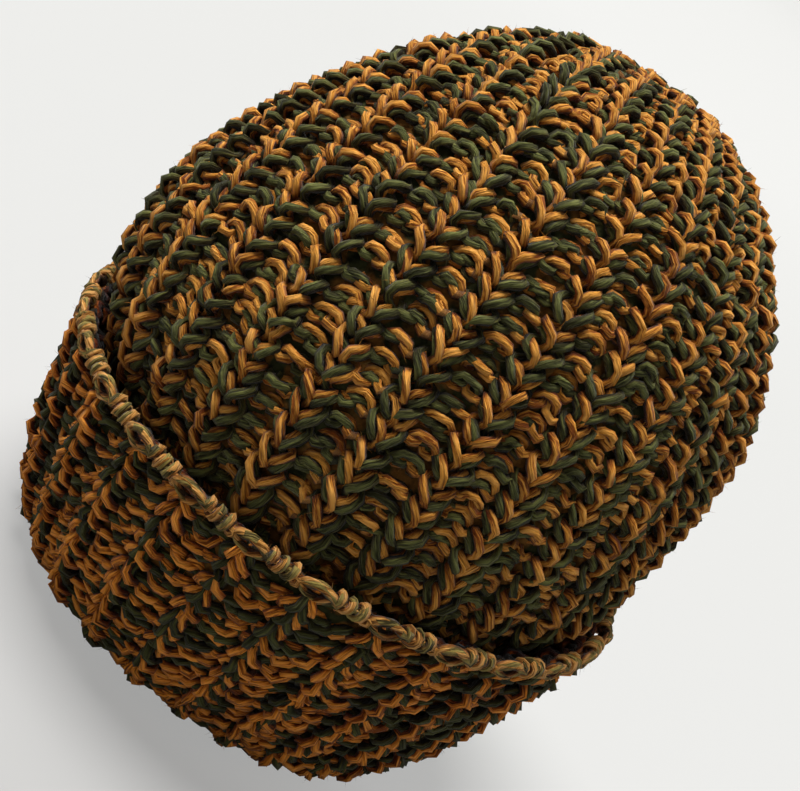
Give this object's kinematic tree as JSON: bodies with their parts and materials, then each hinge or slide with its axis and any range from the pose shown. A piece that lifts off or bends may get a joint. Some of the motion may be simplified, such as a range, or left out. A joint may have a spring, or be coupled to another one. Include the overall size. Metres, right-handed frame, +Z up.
{
  "type": "knit hat",
  "caption": "Chunky rib-knitted hat with a gathered leaning crown, a turned-up cuff and a looped cast-on edge, standing on its fold.",
  "frame": {"origin": "on the floor, under the middle of the hat's bounding box", "axes": "+Z up from the fold that the hat stands on to the crown, -Y towards the side that the picture shows, +X to that viewer's right"},
  "size_m": [0.1912, 0.192, 0.2148],
  "materials": {
    "crown_knit": "matt wool, mustard orange and dark green strands twisted together, knitted in rib",
    "cuff_knit": "matt wool, mustard orange and dark green strands twisted together, knitted in rib, wrong side out",
    "edge_yarn": "matt wool, thin looped strands of the cast-on"
  },
  "bodies": {
    "root": {"crown": "crown_knit", "cuff": "cuff_knit", "cast_on_edge": "edge_yarn"}
  },
  "joints": []
}
